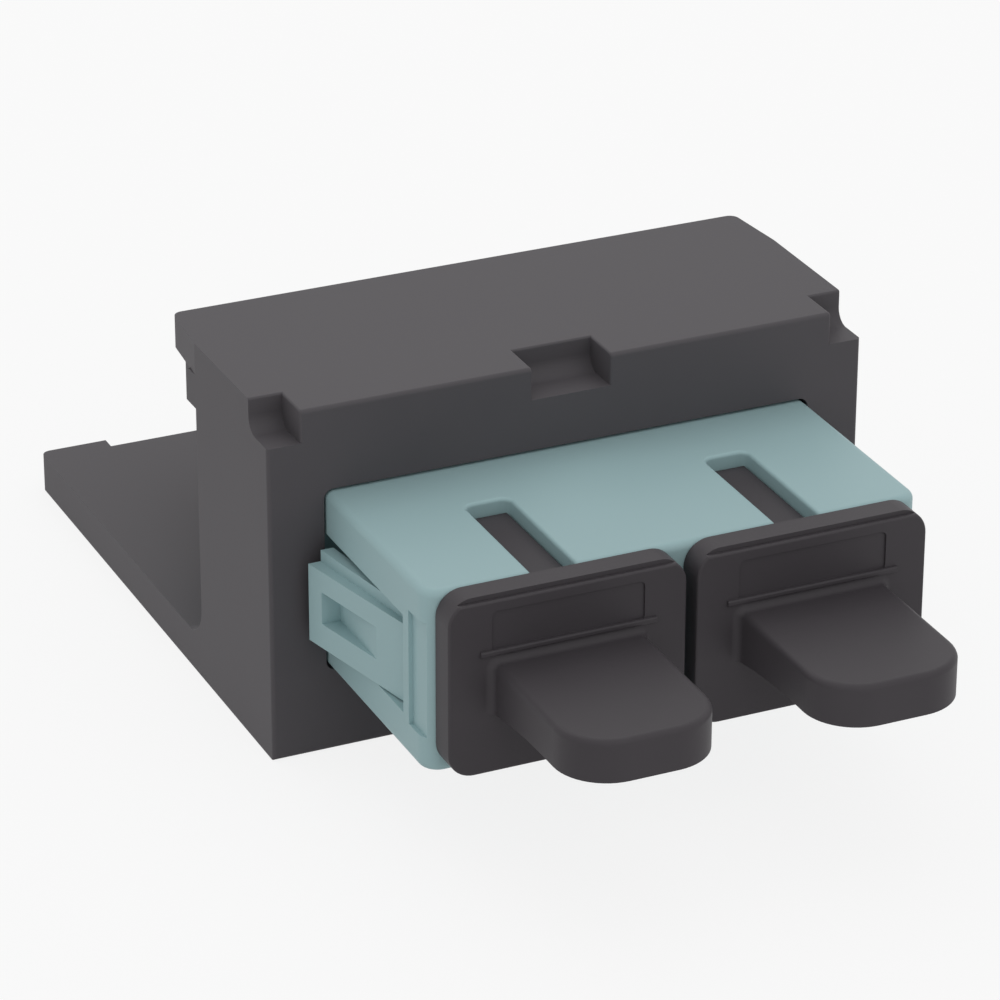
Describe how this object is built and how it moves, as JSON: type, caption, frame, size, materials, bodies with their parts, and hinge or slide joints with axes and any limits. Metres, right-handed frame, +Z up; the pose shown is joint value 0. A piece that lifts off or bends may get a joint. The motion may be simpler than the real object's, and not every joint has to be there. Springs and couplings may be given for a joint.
{
  "type": "sc duplex fibre adapter module",
  "caption": "Snap-in panel module with an open-backed housing, a duplex fibre adapter through its front wall and pull-off dust caps on the ports.",
  "frame": {"origin": "on the face that the module rests on, under the middle of the adapter where the two ferrules of a port meet, centred between the two ports", "axes": "+X across the ports, +Y from the front ports to the rear ports, +Z up"},
  "size_m": [0.0318, 0.0562, 0.0185],
  "materials": {
    "housing_plastic": "dark grey, satin, lightly moulded grain",
    "adapter_plastic": "grey aqua, semi-gloss",
    "cap_plastic": "near black, satin",
    "holder_plastic": "pale grey, satin",
    "sleeve_ceramic": "white ceramic, polished"
  },
  "bodies": {
    "module": {"module_housing": "housing_plastic", "adapter_front_shell": "adapter_plastic", "adapter_rear_shell": "adapter_plastic", "front_holder_left": "holder_plastic", "front_holder_right": "holder_plastic", "rear_holder_left": "holder_plastic", "rear_holder_right": "holder_plastic", "sleeve_left": "sleeve_ceramic", "sleeve_right": "sleeve_ceramic"},
    "front_cap_left": {"front_cap_left": "cap_plastic"},
    "front_cap_right": {"front_cap_right": "cap_plastic"},
    "rear_cap_left": {"rear_cap_left": "cap_plastic"},
    "rear_cap_right": {"rear_cap_right": "cap_plastic"}
  },
  "joints": [
    {"name": "front_cap_left_pull", "type": "slide", "parent": "module", "child": "front_cap_left", "axis": [0, -1, 0], "range_m": [0, 0.014]},
    {"name": "front_cap_right_pull", "type": "slide", "parent": "module", "child": "front_cap_right", "axis": [0, -1, 0], "range_m": [0, 0.014]},
    {"name": "rear_cap_left_pull", "type": "slide", "parent": "module", "child": "rear_cap_left", "axis": [0, 1, 0], "range_m": [0, 0.014]},
    {"name": "rear_cap_right_pull", "type": "slide", "parent": "module", "child": "rear_cap_right", "axis": [0, 1, 0], "range_m": [0, 0.014]}
  ]
}
